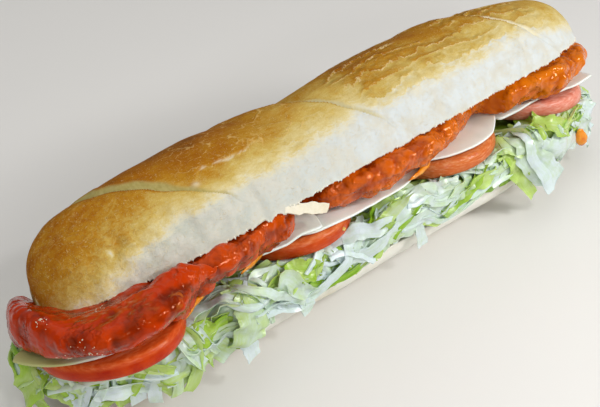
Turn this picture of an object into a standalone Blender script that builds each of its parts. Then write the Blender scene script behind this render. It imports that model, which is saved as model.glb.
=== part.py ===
"""A submarine sandwich: a long roll cut in two, filled with shredded lettuce, tomato, cheese and saucy chicken.

X runs along the roll, -Y is the open front and +Z is up. The origin is the middle of the flat underside.
The lower half lies flat. The fillings slope up towards the front, and the upper half leans back on them.
Every piece is one skin lofted through rings of points, so each shape is a function that gives its rings.
"""

import math

import bmesh
import bpy
from mathutils import Vector, noise

MM = 0.001
GAP = 0.4 * MM  # clearance between pieces that lie on each other

# The roll, shared by both halves
HALF_LENGTH = 150.5 * MM
END_BLUNTNESS = 5
END_POWER = 0.45

# Lower half
LOWER_SHIFT = 3 * MM
LOWER_HALF_WIDTH = 33.5 * MM
CUT_HEIGHT = 22 * MM
LOWER_DEPTH = 23.5 * MM  # more than the cut's height, which leaves a flat underside
LOWER_STATIONS = 28
LOWER_SIDE_POINTS = 13
LOWER_CUT_POINTS = 4

# Upper half, whose cut face leans back. Its +X end sits a little higher and further back.
LID_TILT = math.radians(30)
LID_SKEW = 0.015  # rise and setback per length along the roll
LID_HALF_WIDTH = 33 * MM
LID_CENTRE = Vector((4 * MM, -1.3 * MM, 54 * MM))
LID_RISES = (  # the dome's height at places along it: it swells between the slashes
    (-150 * MM, 36 * MM),
    (-70 * MM, 36.5 * MM),
    (-25 * MM, 32.8 * MM),
    (35 * MM, 37 * MM),
    (85 * MM, 34.5 * MM),
    (150 * MM, 31 * MM),
)
LID_STATIONS = 56
LID_DOME_POINTS = 19
LID_CUT_POINTS = 3

# Baker's slashes on the dome: where each crosses 60 degrees up from the front, and its slant per degree
SLASHES = ((-99 * MM, 0.68 * MM), (-9 * MM, 0.42 * MM), (96.5 * MM, 0.42 * MM))
SLASH_CROSSING = 60
SLASH_DEPTH = 2.6 * MM
SLASH_HALF_WIDTH = 6 * MM
SLASH_EAR = 1.4 * MM  # the crust curls up along the -X side of each slash
SLASH_FIRST, SLASH_LAST = 8, 150  # degrees up from the front edge

# Sloping bed of the fillings
BED_TILT = math.radians(16.5)
BED_CENTRE = Vector((0, 0, 32 * MM))

# Tomato slices: place along the roll, place down the slope, radius
TOMATOES = (
    (-127 * MM, -21 * MM, 28.5 * MM),
    (-31 * MM, -8.5 * MM, 28 * MM),
    (57 * MM, -10 * MM, 28.5 * MM),
    (127 * MM, -5.5 * MM, 27 * MM),
)
TOMATO_THICKNESS = 7.5 * MM
TOMATO_SEGMENTS = 26

# Cheese slices: place along the roll, place down the slope, how far out the slice is cut straight
# and which way that cut faces in degrees. They overlap like shingles.
CHEESES = (
    (-129 * MM, -6 * MM, 9 * MM, 115),
    (-64 * MM, -17.5 * MM, 12.4 * MM, -102),
    (-5 * MM, -6 * MM, 36 * MM, 90),
    (59 * MM, 1 * MM, 36 * MM, 90),
    (120 * MM, -14 * MM, 12 * MM, -90),
)
CHEESE_RADIUS = 36 * MM
CHEESE_THICKNESS = 1.9 * MM
CHEESE_BASE = TOMATO_THICKNESS + 2 * GAP
CHEESE_CLIMB = 10 * MM  # length over which a slice rises onto the next one
CHEESE_SEGMENTS = 24

# Chicken strips: middle along the roll, middle across, half length, half width, yaw in degrees
CHICKENS = (
    (-117 * MM, -9 * MM, 46 * MM, 41 * MM, 3),
    (-66 * MM, -7 * MM, 29 * MM, 34 * MM, 8),
    (26 * MM, -4 * MM, 56 * MM, 32 * MM, 7),
    (121 * MM, -3 * MM, 45 * MM, 27 * MM, 3),
)
CHICKEN_SEAMS = (-86 * MM, -30 * MM, 79 * MM)  # where one strip meets the next
CHICKEN_SEAM_SLANT = 0.15
CHICKEN_RISE = 18 * MM
SQUARING = 0.7
CHICKEN_LUMP = 3.2 * MM
CHICKEN_LUMP_SCALE = 60  # lumps per metre, as the noise sees them
CHICKEN_LEAST = 1.6 * MM  # thickness left at the back, where the bread comes down on it
LID_CLEARANCE = 4.6 * MM  # room round the upper half's ends before the chicken swells up beside it
LID_CORNER = 0.65  # share of the upper half's width up to which that room follows its rounded corner
CHICKEN_STATIONS = 20
CHICKEN_RING_POINTS = 16

# Heap of shredded lettuce on the lower half, with tufts that hang over its front
HEAP_HALF_LENGTH = 160 * MM
HEAP_FRONT = 36 * MM
HEAP_BACK = 35 * MM
HEAP_RUFFLE = 1.5 * MM
TUFTS = (  # place along the roll, half width, hang
    (-142 * MM, 11 * MM, 9 * MM),
    (-112 * MM, 12 * MM, 10 * MM),
    (-78 * MM, 9 * MM, 8 * MM),
    (-6 * MM, 7 * MM, 3 * MM),
    (102 * MM, 12 * MM, 11 * MM),
    (146 * MM, 9 * MM, 7 * MM),
)
TUFT_REACH = 5 * MM
HEAP_STATIONS = 46
HEAP_TOP_POINTS = 7
TOMATO_NEST = 8 * MM  # how far from a tomato the heap starts to rise, and the width of that rise


def material(name, colour, roughness):
    """A Principled material of one colour."""
    made = bpy.data.materials.new(name)
    made.use_nodes = True
    shader = made.node_tree.nodes["Principled BSDF"]
    shader.inputs["Base Color"].default_value = (*colour, 1.0)
    shader.inputs["Roughness"].default_value = roughness
    shader.inputs["Metallic"].default_value = 0.0
    return made


def skin(name, rings, start, end, finish):
    """One closed object through equal rings of points, closed by a point at each end."""
    mesh = bmesh.new()
    loops = [[mesh.verts.new(point) for point in ring] for ring in rings]
    for near, far in zip(loops, loops[1:]):
        for i, corner in enumerate(near):
            j = (i + 1) % len(near)
            mesh.faces.new((corner, near[j], far[j], far[i]))
    for loop, point in ((loops[0], start), (loops[-1], end)):
        tip = mesh.verts.new(point)
        for i, corner in enumerate(loop):
            mesh.faces.new((corner, loop[(i + 1) % len(loop)], tip))
    bmesh.ops.triangulate(mesh, faces=mesh.faces)
    bmesh.ops.recalc_face_normals(mesh, faces=mesh.faces)
    data = bpy.data.meshes.new(name)
    mesh.to_mesh(data)
    mesh.free()
    data.shade_smooth()
    data.set_sharp_from_angle(angle=math.radians(40))
    data.materials.append(finish)
    made = bpy.data.objects.new(name, data)
    bpy.context.scene.collection.objects.link(made)
    return made


def spread(count, first=-1.0, last=1.0):
    """Evenly spaced values from first to last."""
    return [first + (last - first) * i / (count - 1) for i in range(count)]


def stations(count):
    """Places from -1 to 1 along a piece, closer together at its rounded ends and short of both tips."""
    return [math.sin(angle * math.pi / 2) for angle in spread(count, -0.955, 0.955)]


def smooth_step(value):
    """0 up to 0, 1 from 1 on, and a smooth rise between."""
    clipped = min(1.0, max(0.0, value))
    return clipped * clipped * (3 - 2 * clipped)


def end_rounding(share, bluntness=END_BLUNTNESS, power=END_POWER):
    """Width left at a place from -1 to 1 along a piece with rounded ends."""
    return max(0.0, 1 - abs(share) ** bluntness) ** power


def on_bed(x, down, up):
    """A point on the sloping bed: along the roll, across it towards the back, and up from the bed."""
    across = down * math.cos(BED_TILT) + up * math.sin(BED_TILT)
    height = up * math.cos(BED_TILT) - down * math.sin(BED_TILT)
    return BED_CENTRE + Vector((x, across, height))


def bed_height(y):
    """Height of the bed at a place across the sandwich."""
    return BED_CENTRE.z - y * math.tan(BED_TILT)


def under_lid(x, y):
    """Height of the upper half's cut face at a place along and across the sandwich."""
    skew = LID_SKEW * (x - LID_CENTRE.x)
    return LID_CENTRE.z + skew - (y - LID_CENTRE.y - skew) * math.tan(LID_TILT)


def squared(number):
    """A power of a number that keeps its sign, which squares off a round section."""
    return math.copysign(abs(number) ** SQUARING, number)


# --- the roll ---


def lower_half(finish):
    """The lower half of the roll: a flat cut face over a rounded side and a flat underside."""
    rings = []
    for share in stations(LOWER_STATIONS):
        width = LOWER_HALF_WIDTH * end_rounding(share)
        depth = LOWER_DEPTH * end_rounding(share) ** 0.5
        x = LOWER_SHIFT + HALF_LENGTH * share
        ring = []
        for angle in spread(LOWER_SIDE_POINTS, 0.0, math.pi):
            height = max(0.0, CUT_HEIGHT - depth * math.sin(angle))
            ring.append(Vector((x, width * math.cos(angle), height)))
        for across in spread(LOWER_CUT_POINTS + 2)[1:-1]:
            ring.append(Vector((x, width * across, CUT_HEIGHT)))
        rings.append(ring)
    tips = [Vector((LOWER_SHIFT + side * HALF_LENGTH, 0, CUT_HEIGHT - 2 * MM)) for side in (-1, 1)]
    return skin("bun_bottom", rings, *tips, finish)


def slash_relief(x, degrees):
    """How far the baker's slashes sink the dome, less their ears, along it and up from its front edge."""
    faded = smooth_step((degrees - SLASH_FIRST) / 14) * smooth_step((SLASH_LAST - degrees) / 20)
    sunk = 0.0
    for crossing, slant in SLASHES:
        along = x - (crossing + slant * (SLASH_CROSSING - degrees))
        arc_per_degree = math.radians(1) * LID_HALF_WIDTH
        distance = along * math.cos(math.atan2(slant, arc_per_degree))
        sunk += SLASH_DEPTH * math.exp(-((distance / SLASH_HALF_WIDTH) ** 2))
        sunk -= SLASH_EAR * math.exp(-(((distance + 1.8 * SLASH_HALF_WIDTH) / SLASH_HALF_WIDTH) ** 2))
    return sunk * faded


def lid_rise(x):
    """Height of the dome at a place along it."""
    rise = LID_RISES[0][1]
    for (start, low), (end, high) in zip(LID_RISES, LID_RISES[1:]):
        rise += (high - low) * smooth_step((x - start) / (end - start))
    return rise


def lid_point(x, across, up):
    """A point in the upper half's own frame, which leans back by the tilt."""
    y = across * math.cos(LID_TILT) + up * math.sin(LID_TILT)
    z = up * math.cos(LID_TILT) - across * math.sin(LID_TILT)
    return LID_CENTRE + Vector((x, y + LID_SKEW * x, z + LID_SKEW * x))


def upper_half(finish):
    """The upper half of the roll: a leaning dome with three slanting slashes, over a flat cut face."""
    rings = []
    for share in stations(LID_STATIONS):
        rounding = end_rounding(share)
        x = HALF_LENGTH * share
        ring = []
        for degrees in spread(LID_DOME_POINTS, 0, 180):
            angle = math.radians(degrees)
            sunk = slash_relief(x, degrees) * min(1.0, rounding * 1.5)
            across = -(LID_HALF_WIDTH * rounding - sunk) * math.cos(angle)
            up = (lid_rise(x) * rounding**0.6 - sunk) * math.sin(angle)
            ring.append(lid_point(x, across, max(up, 0.0)))
        back_edge, front_edge = ring[-1].copy(), ring[0].copy()
        for place in spread(LID_CUT_POINTS + 2, 0.0, 1.0)[1:-1]:
            ring.append(back_edge.lerp(front_edge, place))
        rings.append(ring)
    tips = [lid_point(side * HALF_LENGTH, 0, 4 * MM) for side in (-1, 1)]
    return skin("bun_top", rings, *tips, finish)


# --- the fillings ---


def tomato(number, x, down, radius, finish):
    """A round slice lying on the bed, its skin edge a little bulged."""
    half = TOMATO_THICKNESS / 2
    levels = ((0.55, half), (0.94, half), (1.0, half * 0.55), (1.0, -half * 0.55), (0.94, -half), (0.55, -half))
    rings = []
    for share, level in levels:
        ring = []
        for i in range(TOMATO_SEGMENTS):
            angle = 2 * math.pi * i / TOMATO_SEGMENTS
            reach = radius * share * (1 + 0.02 * math.sin(3 * angle + number))
            place = x + reach * math.cos(angle), down + reach * math.sin(angle)
            ring.append(on_bed(*place, half + GAP + level))
        rings.append(ring)
    top = on_bed(x, down, 2 * half + GAP)
    bottom = on_bed(x, down, GAP)
    return skin(f"tomato_{number}", rings, top, bottom, finish)


def cheese_lift(number, x):
    """How far slice number is raised at x, where it lies over the next one."""
    if number + 1 >= len(CHEESES):
        return 0.0
    start = CHEESES[number + 1][0] - CHEESE_RADIUS - CHEESE_CLIMB
    return (CHEESE_THICKNESS + GAP) * smooth_step((x - start) / (CHEESE_CLIMB - 1 * MM))


def cheese_top(x):
    """Height above the bed of the uppermost cheese at x, eased down past a slice's end."""
    lift = 0.0
    for number in range(len(CHEESES) - 1):
        end = CHEESES[number][0] + CHEESE_RADIUS
        lift = max(lift, cheese_lift(number, x + 7 * MM) * smooth_step((end + 9 * MM - x) / (7 * MM)))
    return CHEESE_BASE + CHEESE_THICKNESS + lift


def cheese(number, x, down, cut, facing, finish):
    """A thin slice on the tomatoes, round but for one straight cut, raised where it overlaps the next."""
    levels = ((0.36, 1), (0.7, 1), (1.0, 1), (1.0, 0), (0.7, 0), (0.36, 0))
    rings = []
    for share, upper in levels:
        ring = []
        for i in range(CHEESE_SEGMENTS):
            angle = 2 * math.pi * i / CHEESE_SEGMENTS
            towards_cut = max(math.cos(angle - math.radians(facing)), 0.01)
            reach = share * min(CHEESE_RADIUS, cut / towards_cut)
            place = x + reach * math.cos(angle)
            level = CHEESE_BASE + cheese_lift(number, place) + upper * CHEESE_THICKNESS
            ring.append(on_bed(place, down + reach * math.sin(angle), level))
        rings.append(ring)
    base = CHEESE_BASE + cheese_lift(number, x)
    top, bottom = on_bed(x, down, base + CHEESE_THICKNESS), on_bed(x, down, base)
    return skin(f"cheese_{number + 1}", rings, top, bottom, finish)


def between_seams(number, x, y):
    """x held between the strip's two slanting seams, so that neighbours only touch."""
    slant = CHICKEN_SEAM_SLANT * y
    if number > 0:
        x = max(x, CHICKEN_SEAMS[number - 1] + slant + GAP / 2)
    if number < len(CHICKEN_SEAMS):
        x = min(x, CHICKEN_SEAMS[number] + slant - GAP / 2)
    return x


def past_lid(x, y):
    """How far a place lies beyond the upper half's end, whose back corner is rounded, less a clearance."""
    middle = LID_CENTRE.y + LID_SKEW * (x - LID_CENTRE.x)
    across = (y - middle) / (LID_HALF_WIDTH * math.cos(LID_TILT))
    across = min(LID_CORNER, max(0.0, across))
    end = HALF_LENGTH * (1 - across ** (1 / END_POWER)) ** (1 / END_BLUNTNESS)
    return max(0.0, abs(x - LID_CENTRE.x) - end - LID_CLEARANCE)


def room_for_chicken(x, y):
    """The lowest and highest the chicken may be at a place along and across the sandwich."""
    floor = bed_height(y) + (cheese_top(x) + GAP) / math.cos(BED_TILT)
    return floor, under_lid(x, y) - GAP / math.cos(LID_TILT) + past_lid(x, y)


def furthest_back(x):
    """How far back there is still room for the least thickness of chicken."""
    floor, ceiling = room_for_chicken(x, 0)
    return (ceiling - floor - CHICKEN_LEAST) / (math.tan(LID_TILT) - math.tan(BED_TILT))


def pressed(point):
    """The point held above the cheese and below the upper half of the roll."""
    floor, ceiling = room_for_chicken(point.x, point.y)
    return Vector((point.x, point.y, min(ceiling, max(floor, point.z))))


def chicken(number, x, y, half_length, half_width, yaw, finish):
    """A lumpy strip lying along the roll, flattened between the cheese and the bread."""
    turn = math.radians(yaw)
    rings = []
    middle = bed_height(y) + CHEESE_BASE + CHICKEN_RISE / 2
    for share in stations(CHICKEN_STATIONS):
        rounding = end_rounding(share, 3, 0.5)
        centre_x, centre_y = x + half_length * share * math.cos(turn), y + half_length * share * math.sin(turn)
        limit = min(furthest_back(centre_x + aside) for aside in (-8 * MM, 0, 8 * MM)) - CHICKEN_LUMP
        behind = min(half_width * rounding, (limit - centre_y) / math.cos(turn))
        ring = []
        for i in range(CHICKEN_RING_POINTS):
            angle = 2 * math.pi * i / CHICKEN_RING_POINTS
            width = behind if math.cos(angle) > 0 else half_width * rounding
            across = width * squared(math.cos(angle))
            place = Vector((centre_x - across * math.sin(turn), centre_y + across * math.cos(turn), 0))
            place.z = middle - (place.y - y) * math.tan((BED_TILT + LID_TILT) / 2)
            place.z += CHICKEN_RISE / 2 * rounding**0.6 * squared(math.sin(angle))
            lump = noise.noise(place * CHICKEN_LUMP_SCALE + Vector((number * 7.0, 0, 0)))
            outward = Vector((0, math.cos(angle), math.sin(angle)))
            place += outward * lump * CHICKEN_LUMP * rounding
            place.x = between_seams(number, place.x, place.y)
            ring.append(pressed(place))
        rings.append(ring)
    tips = [sum(ring, Vector()) / len(ring) for ring in (rings[0], rings[-1])]
    return skin(f"chicken_{number + 1}", rings, *tips, finish)


# --- the lettuce ---


def clear_of_tomatoes(x, y):
    """0 under a tomato slice and 1 well clear of every slice."""
    nearest = 1.0
    for centre, down, radius in TOMATOES:
        distance = math.hypot(x - centre, y / math.cos(BED_TILT) - down) - radius
        nearest = min(nearest, smooth_step((distance - TOMATO_NEST) / TOMATO_NEST))
    return nearest


def ruffle(x, phase):
    """Uneven reach of the heap's edge along the sandwich, from -1 to 1."""
    return 0.6 * math.sin(x / (9 * MM) + phase) + 0.4 * math.sin(x / (4.3 * MM) + 2.1 * phase)


def tuft_hang(x):
    """How far the lettuce hangs over the front of the lower half at a place along it."""
    return max(hang * math.exp(-(((x - place) / half_width) ** 2)) for place, half_width, hang in TUFTS)


def heap_ring(share):
    """One cross-section of the lettuce heap, from the front of the cut face out, up and over to the back."""
    x = LOWER_SHIFT + HEAP_HALF_LENGTH * share
    rounding = end_rounding(share, 6, 0.5)
    inside = abs(share * HEAP_HALF_LENGTH) / HALF_LENGTH
    rim = LOWER_HALF_WIDTH * end_rounding(0.98 * inside)
    hang = tuft_hang(x)
    reach = HEAP_FRONT + HEAP_RUFFLE * ruffle(x, 0.4) + TUFT_REACH * min(1.0, hang / (8 * MM))
    front = max(reach * rounding, rim + 3.2 * MM)
    back = max((HEAP_BACK + HEAP_RUFFLE * ruffle(x, 2.2)) * rounding, rim + 1.2 * MM)
    floor = CUT_HEIGHT + GAP
    shoulder = bed_height(-front) - 5 * MM
    ring = [
        Vector((x, -rim - 1.2 * MM, floor)),
        Vector((x, -rim - 1.7 * MM, floor - hang)),
        Vector((x, -front + 0.6 * MM, floor - hang * 0.6)),
        Vector((x, -front, (floor + shoulder) / 2)),
        Vector((x, -front + 1.4 * MM, shoulder)),
    ]
    for place in spread(HEAP_TOP_POINTS, 0.07, 0.93):
        y = -front + (front + back) * place
        top = bed_height(y) - GAP + clear_of_tomatoes(x, y) * (TOMATO_THICKNESS - GAP)
        ring.append(Vector((x, y, max(top, floor + 1 * MM))))
    ring.append(Vector((x, back, floor + 1 * MM)))
    ring.append(Vector((x, back - 0.8 * MM, floor)))
    return ring


def lettuce_heap(finish):
    """The heap of shredded lettuce as one solid, out to its uneven outline."""
    rings = [heap_ring(share) for share in stations(HEAP_STATIONS)]
    tips = [sum(ring, Vector()) / len(ring) for ring in (rings[0], rings[-1])]
    return skin("lettuce", rings, *tips, finish)


def main():
    for old in list(bpy.data.objects):
        bpy.data.objects.remove(old)
    crust = material("crust", (0.62, 0.38, 0.14), 0.55)
    pale_crust = material("pale_crust", (0.78, 0.66, 0.45), 0.65)
    sauced = material("sauced_chicken", (0.52, 0.08, 0.01), 0.25)
    white_cheese = material("white_cheese", (0.84, 0.78, 0.62), 0.4)
    flesh = material("tomato_flesh", (0.66, 0.12, 0.05), 0.3)
    leaf = material("lettuce_leaf", (0.62, 0.74, 0.36), 0.45)
    lower_half(pale_crust)
    lettuce_heap(leaf)
    for number, place in enumerate(TOMATOES):
        tomato(number + 1, *place, flesh)
    for number, place in enumerate(CHEESES):
        cheese(number, *place, white_cheese)
    for number, strip in enumerate(CHICKENS):
        chicken(number, *strip, sauced)
    upper_half(crust)


main()
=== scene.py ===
"""The looks of a submarine sandwich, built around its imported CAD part.

The script works in millimetres and degrees. X runs along the roll, -Y is the open front and +Z is up.
Shapes repeat the part's own formulas on finer grids and add what the solids leave out.
Each piece is named where it is made, rides on the one body, and replaces its CAD node.
"""

import math

import bmesh
import bpy
import numpy as np
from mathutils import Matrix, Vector, kdtree


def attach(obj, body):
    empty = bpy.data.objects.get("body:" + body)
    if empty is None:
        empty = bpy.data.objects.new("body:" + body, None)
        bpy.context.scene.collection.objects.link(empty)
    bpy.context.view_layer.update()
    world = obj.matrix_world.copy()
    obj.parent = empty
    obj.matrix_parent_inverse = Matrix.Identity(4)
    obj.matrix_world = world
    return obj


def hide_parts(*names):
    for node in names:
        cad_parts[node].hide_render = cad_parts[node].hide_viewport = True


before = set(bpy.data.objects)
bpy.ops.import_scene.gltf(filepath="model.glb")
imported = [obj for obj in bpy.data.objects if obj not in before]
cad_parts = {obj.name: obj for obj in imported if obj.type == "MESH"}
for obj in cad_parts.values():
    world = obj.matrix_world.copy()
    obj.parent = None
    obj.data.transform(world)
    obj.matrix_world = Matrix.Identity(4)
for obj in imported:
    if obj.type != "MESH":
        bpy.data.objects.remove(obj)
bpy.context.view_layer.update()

MM = 0.001  # metres in the script's unit
GAP = 0.4  # between one layer and the next

# The roll, as in the part
HALF_LENGTH = 150.5
END_BLUNTNESS, END_POWER = 5, 0.45
LOWER_SHIFT = 3
LOWER_HALF_WIDTH, LOWER_DEPTH = 33.5, 23.5
CUT_HEIGHT = 22
LID_TILT = math.radians(30)
LID_SKEW = 0.015
LID_HALF_WIDTH = 33
LID_CENTRE = np.array((4, -1.3, 54))
LID_RISES = ((-150, 36), (-70, 36.5), (-25, 32.8), (35, 37), (85, 34.5), (150, 31))
# Each slash's place 60 degrees up, its slant per degree, and how far up it starts
SLASHES = ((-99, 0.68, 8), (-9, 0.42, 8), (96.5, 0.42, -10))
SLASH_CROSSING, SLASH_END = 60, 150
SLASH_DEPTH, SLASH_HALF_WIDTH, SLASH_EAR = 2.6, 6, 1.4
# By degrees up the dome: where each slash's lip lies beside its middle, and how wide its pale channel is
SLASH_LIPS = (
    ((13, -1), (28, -1.4), (43, -4), (62, -4.8), (87, -6.6)),
    ((30, -1.5), (47, -4.4), (59, -5.3), (73, -6.5)),
    ((0, -4), (17, -4), (30, -4.5), (50, -5)),
)
SLASH_WIDTHS = (
    ((30, 1), (43, 3.4), (62, 6), (70, 7), (97, 13)),
    ((21, 1.3), (35, 2.6), (47, 3.5), (66, 5.2)),
    ((0, 2.5), (20, 3.5), (40, 4), (60, 5)),
)
TORN_FLAKE = ((-86, 43), (-81, 47), (-77, 50), (-67, 47), (-58, 48), (-49, 52))  # a layer's torn edge
BLISTER = (-84, 41)  # a small burst blister of crust: its place along the dome and up it
# The browning of the upper half along it: how far up from its front edge it starts, and how brown it gets
BROWNING_START = ((-150, -14), (-138, -8), (-120, 6), (-104, 17), (-80, 21), (-40, 21), (-18, 26), (0, 33),
                  (14, 23), (60, 22), (100, 22), (122, 17), (140, 9), (150, 0))
BROWNEST = ((-140, 0.76), (-120, 0.8), (-100, 0.9), (-75, 1.0), (-55, 0.86), (-20, 0.64), (-4, 0.62),
            (12, 0.86), (60, 0.8), (80, 0.74), (120, 0.62), (150, 0.55))
BROWNING_REACH = 31  # degrees over which most of the browning comes

# The fillings, as in the part
BED_TILT = math.radians(16.5)
BED_CENTRE = np.array((0, 0, 32))
END_DROOP = (105, 40, 3.5)  # where the fillings start to sag at the +X end, over what length, and how far
# Each slice's place along the bed and down it, and its radius
TOMATOES = ((-127, -21, 28.5), (-31, -8.5, 28), (57, -10, 28.5), (127, -5.5, 27))
TOMATO_THICKNESS = 7.5
TOMATO_SKINS = (1, 0.7, 0.2, 0.15)  # how much red skin shows on each slice
# Each slice's middle, how far from it the slice is cut short, and in which direction
CHEESES = ((-129, -6, 9, 115), (-64, -17.5, 12.4, -102), (-5, -6, 36, 90), (59, 1, 36, 90),
           (120, -14, 12, -90))
CHEESE_RADIUS = 36
CHEESE_THICKNESS = 1.9
CHEESE_SHOWN = 1.1  # how thick the slices shown are, below the solids' tops
SQUARE_SLICE = 2  # the slice that is nearly square
SQUARE_HALVES, SQUARENESS = (42, 30.5), 4  # its half length and half depth, and how square it is
CHEESE_BASE = TOMATO_THICKNESS + 2 * GAP
CHEESE_CLIMB = 10  # over what length a slice climbs on to the next one
HEAP_HALF_LENGTH = 160
HEAP_FRONT, HEAP_BACK = 36, 35
# Each tuft that hangs over the lower half: its place along the roll, its half width, and its drop
TUFTS = ((-142, 11, 9), (-112, 12, 10), (-78, 9, 8), (-6, 7, 3), (102, 12, 11), (146, 9, 7))
TUFT_REACH = 5  # how far the longest tufts stand out in front
TOMATO_NEST = 8  # how far from a tomato slice the lettuce starts to rise
SHREDS, SCRAPS = 420, 190  # how many loose pieces of lettuce lie on the heap, and how many are scraps
EDGE_SHREDS, CRUMBS, CLUSTERS = 230, 60, 9  # of bread: along the cut edge, and as crumbs on the chicken

# The front edge of each chicken strip: place along the roll, and place down the slope
CHICKEN_FRONTS = (
    ((-163, -15), (-158, -40), (-150, -51), (-141, -56.5), (-127, -57.5), (-115, -55.5), (-103, -45),
     (-84, -41)),
    ((-92, -46), (-86, -44), (-74, -41), (-60, -35), (-53, -37), (-46, -32), (-38, -23)),
    ((-30, -27), (-23, -31), (-11, -38.5), (6, -40.5), (17, -40), (28, -38.5), (36, -35.5), (56, -26),
     (78, -16)),
    ((78, -16), (82, -20), (87, -31), (109, -31), (121, -33), (138, -26), (150, -21), (166, -14)),
)
CHICKEN_GLOSS = (0.3, 0.45, 0.75, 0.5)  # how much each strip's sauce mirrors
CHICKEN_BULGE = 4  # how far the strips' sides stand out past the edge that is seen on the cheese
# For each strip: the heights of its large and small lumps, and how much its shape is smoothed
CHICKEN_LUMPS = ((1.0, 0.4, 36), (1.2, 0.7, 14), (0.9, 0.8, 14), (1.2, 0.6, 14))
CHICKEN_REACH = ((-2, 0), (9, 0), (0, 2), (2, -4))  # how far each strip's two ends reach past the solid's
CHICKEN_SWELL = 7  # how far the first strip rises beside the roll's end
# How far the back edge of the first strip's end stands out, by place along the roll
CHICKEN_CORNER = ((-165, -9), (-161, -7), (-157, -4), (-153, -0.5), (-147, 2.5), (-140, 3), (-130, 0))
CHICKEN_RUN = (-107, 7, 8)  # where sauce runs down the first tomato slice: place, half width and length

# Sauce on the cheese: places along the bed, across it and up from it, and the radius at each
SAUCE_RUNS = (
    (((14, -38.5, 11.6), (20, -37.5, 11.6), (27, -35.5, 11.6), (33, -33, 11.6)), (0.8, 1.8, 2.2, 1.2)),
    (((-76, -37.5, 10.5), (-68, -34.5, 10.5), (-60, -31.5, 10.5)), (1.2, 2.2, 1.4)),
    (((-94, -38, 10), (-99, -39, 10), (-104, -42, 10), (-109, -46, 10)), (1.2, 2.2, 2.4, 1.6)),
)
SEEDS = ((-34, -35.6, 4.6), (-37, -34.8, 3.2), (-22, -35, 4))  # places on the bed, as above

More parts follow.
